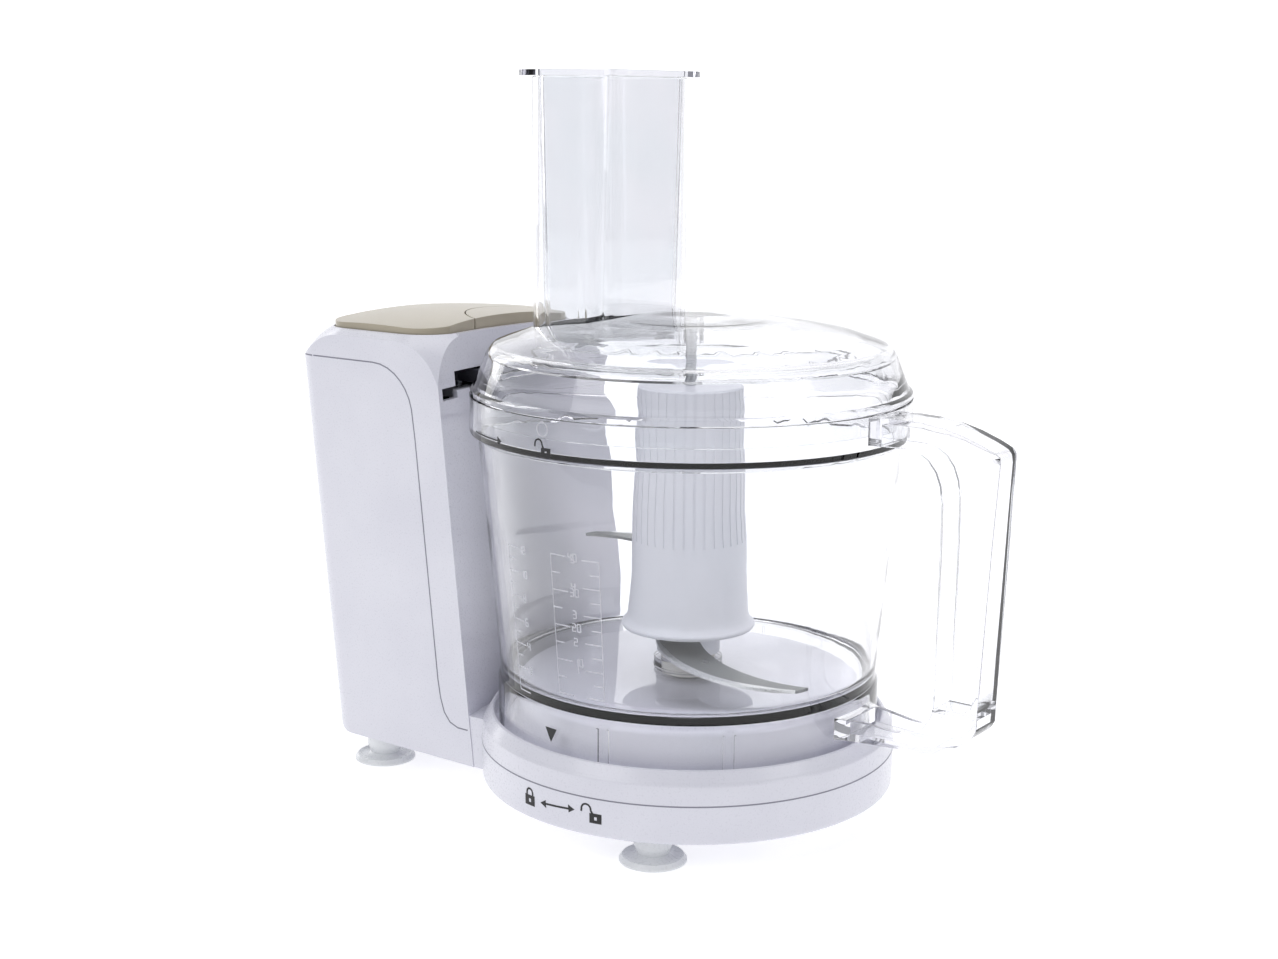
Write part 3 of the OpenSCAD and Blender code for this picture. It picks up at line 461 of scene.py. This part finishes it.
for k, (azimuth, low, high, count, side) in enumerate(
        [(-112.8, 47, 106, 13, 1), (-93.9, 52, 107.6, 9, 1), (-78.6, 52, 107, 11, -1)]):
    steps = [(high - low) * i / (count - 1) for i in range(count)]
    shapes = ladder(steps, 2, side) + [rect(-0.15, 0, 0.15, high - low)]
    wrapped(f"bowl_scale_{k}", shapes, azimuth, low, wall_r, "bowl_unit", "frost", "clear_plastic",
            **RELIEF)

# ---- Numbers beside the graduations ----

BARS = {"a": ((0, 2), (1, 2)), "b": ((1, 1), (1, 2)), "c": ((1, 0), (1, 1)), "d": ((0, 0), (1, 0)),
        "e": ((0, 0), (0, 1)), "f": ((0, 1), (0, 2)), "g": ((0, 1), (1, 1))}
FIGURES = {"0": "abcdef", "1": "bc", "2": "abged", "3": "abgcd", "4": "fgbc", "5": "afgcd",
           "6": "afgedc", "8": "abcdefg"}


FIGURE_TALL = 3.0
FIGURE_STROKE = 0.45
FIGURE_PITCH = 1.5     # from one sign to the next, in half heights


def figures(text, x, y):
    """Plain numerals made of straight strokes."""
    shapes = []
    step = FIGURE_TALL / 2
    for i, sign in enumerate(text):
        for bar in FIGURES[sign]:
            ends = [(x + (i * FIGURE_PITCH + u) * step, y + (v - 1) * step) for u, v in BARS[bar]]
            shapes += stroke(ends, FIGURE_STROKE)
    return shapes


for name, azimuth, x, low, gap, texts in (
        ("bowl_numbers_0", -112.8, 8.6, 47, 9.83, ["2", "4", "6", "8", "10", "12"]),
        ("bowl_numbers_1", -93.9, 8.6, 52, 13.9, ["10", "20", "30", "40"]),
        ("bowl_numbers_2", -78.6, -12.4, 52, 11.0, ["1", "2", "3", "4", "5"])):
    shapes = []
    for i, text in enumerate(texts):
        shapes += figures(text, x, (i + 1) * gap)
    wrapped(name, shapes, azimuth, low, wall_r, "bowl_unit", "frost", "clear_plastic", **RELIEF)

# ---- Ground edges of the blades ----

BLADE_BODY = JOINTS["blade_spin"]["child"]
BAND, BLADE_T, SLEEVE = 2.5, 1.3, 0.03
STATIONS = 40
TAPER_STATIONS = 8


def ground_edge(name, reach, spin, tilt, height, first, last):
    """Bright band along a blade's convex edge, as a sleeve over the steel."""
    cx, cy, r = reach / 2 - 8, 22, 0.66 * reach
    lay = Matrix.Rotation(math.radians(spin), 4, "Z") @ Matrix.Translation((0, 0, height))
    lay = lay @ Matrix.Rotation(math.radians(tilt), 4, "Y")
    outer, top, low = r + SLEEVE, BLADE_T + SLEEVE, -SLEEVE
    rings = []
    for i in range(STATIONS + 1):
        a = math.radians(first + (last - first) * i / STATIONS)
        width = BAND * min(1, (i + 1) / TAPER_STATIONS, (STATIONS + 1 - i) / TAPER_STATIONS)
        ring = []
        for d, z in ((r - width, top), (outer, top), (outer, low), (r - width, low)):
            p = lay @ Vector((cx + d * math.cos(a), cy + d * math.sin(a), z))
            ring.append(at(p.x, p.y, p.z))
        rings.append(ring)
    swept(name, rings, BLADE_BODY, "blade_edge")


ground_edge("lower_ground_edge", 70.5, -22, 7, 60, -122, -23)
ground_edge("upper_ground_edge", 70, 158, -1.5, 86, -107, -23)

# ---- Floor, lights, camera ----

PHOTO_W = 1278
FOCAL_PX = 1869.2
TURN = math.radians(-35.1)
PITCH = math.radians(11.25)
YAW = math.radians(-1.587)
ROLL = math.radians(0.316)
STAND_OFF = 748.6
EYE_Z = 272.5


def facing(v):
    """A direction given across, along and above the view, in the row frame."""
    c, s = math.cos(TURN), math.sin(TURN)
    return Vector((v[0] * c + v[1] * s, -v[0] * s + v[1] * c, v[2]))


ahead = Vector((math.sin(YAW) * math.cos(PITCH), math.cos(YAW) * math.cos(PITCH), -math.sin(PITCH)))
across = Vector((math.cos(YAW), -math.sin(YAW), 0))
above = across.cross(ahead)
right = across * math.cos(ROLL) + above * math.sin(ROLL)
up = above * math.cos(ROLL) - across * math.sin(ROLL)

camera = bpy.data.objects.new("camera", bpy.data.cameras.new("camera"))
bpy.context.scene.collection.objects.link(camera)
camera.data.sensor_width = 36
camera.data.lens = FOCAL_PX * 36 / PHOTO_W
camera.data.clip_end = 50
eye = facing((0, -STAND_OFF, 0))
turn = Matrix((facing(right), facing(up), -facing(ahead))).transposed().to_4x4()
camera.matrix_world = Matrix.Translation(at(eye.x, eye.y, EYE_Z)) @ turn
bpy.context.scene.camera = camera


def lamp(name, place, aim, width, height, power):
    data = bpy.data.lights.new(name, "AREA")
    data.shape = "RECTANGLE"
    data.size, data.size_y = width, height
    data.energy = power
    o = bpy.data.objects.new(name, data)
    bpy.context.scene.collection.objects.link(o)
    p, t = facing(place), facing(aim)
    o.location = p
    o.rotation_mode = "QUATERNION"
    o.rotation_quaternion = (t - p).to_track_quat("-Z", "Y")


lamp("key", (-1.1, -0.9, 1.25), (0, 0, 0.12), 0.9, 1.1, 7.5)
lamp("fill", (1.5, -0.9, 0.8), (0, 0, 0.12), 0.7, 1.3, 5.0)
lamp("top", (0.1, 0.35, 1.7), (0, 0, 0), 1.6, 1.2, 8.5)
lamp("rim", (-1.2, 1.1, 0.7), (0, 0, 0.15), 0.5, 1.2, 4)

world = bpy.data.worlds.new("studio")
bpy.context.scene.world = world
world.use_nodes = True
wt = world.node_tree
wt.nodes.clear()
w_out = wt.nodes.new("ShaderNodeOutputWorld")
w_mix = wt.nodes.new("ShaderNodeMixShader")
w_path = wt.nodes.new("ShaderNodeLightPath")
w_seen = wt.nodes.new("ShaderNodeBackground")
w_room = wt.nodes.new("ShaderNodeBackground")
w_seen.inputs["Color"].default_value = (0.97, 0.97, 0.98, 1)
w_room.inputs["Color"].default_value = (0.4, 0.405, 0.425, 1)
wt.links.new(w_path.outputs["Is Camera Ray"], w_mix.inputs["Fac"])
wt.links.new(w_room.outputs[0], w_mix.inputs[1])
wt.links.new(w_seen.outputs[0], w_mix.inputs[2])
wt.links.new(w_mix.outputs[0], w_out.inputs["Surface"])

# A sheet that runs under the object and curves up behind it
bm = bmesh.new()
profile = [(-1.6, 0.0), (1.1, 0.0)] + arc(1.1, 0.7, 0.7, -90, 0, 12)[1:] + [(1.8, 2.6)]
rows = [[bm.verts.new(facing((x, y, z))) for y, z in profile] for x in (-2.2, 2.2)]
for i in range(len(profile) - 1):
    bm.faces.new((rows[0][i], rows[1][i], rows[1][i + 1], rows[0][i + 1]))
sheet = bpy.data.meshes.new("floor")
bm.to_mesh(sheet)
bm.free()
floor = bpy.data.objects.new("floor", sheet)
bpy.context.scene.collection.objects.link(floor)
paper = bpy.data.materials.new("paper")
paper.use_nodes = True
pt = paper.node_tree
pt.nodes.clear()
p_out = pt.nodes.new("ShaderNodeOutputMaterial")
p_add = pt.nodes.new("ShaderNodeAddShader")
p_face = pt.nodes.new("ShaderNodeBsdfDiffuse")
p_glow = pt.nodes.new("ShaderNodeEmission")
p_face.inputs["Color"].default_value = (0.8, 0.8, 0.81, 1)
p_glow.inputs["Color"].default_value = (1, 1, 1, 1)
p_glow.inputs["Strength"].default_value = 0.5
pt.links.new(p_face.outputs[0], p_add.inputs[0])
pt.links.new(p_glow.outputs[0], p_add.inputs[1])
pt.links.new(p_add.outputs[0], p_out.inputs["Surface"])
sheet.materials.append(paper)
sheet.polygons.foreach_set("use_smooth", [True] * len(sheet.polygons))
floor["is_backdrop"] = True

bpy.context.scene.view_settings.view_transform = "Standard"

bpy.context.view_layer.update()
low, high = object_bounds()
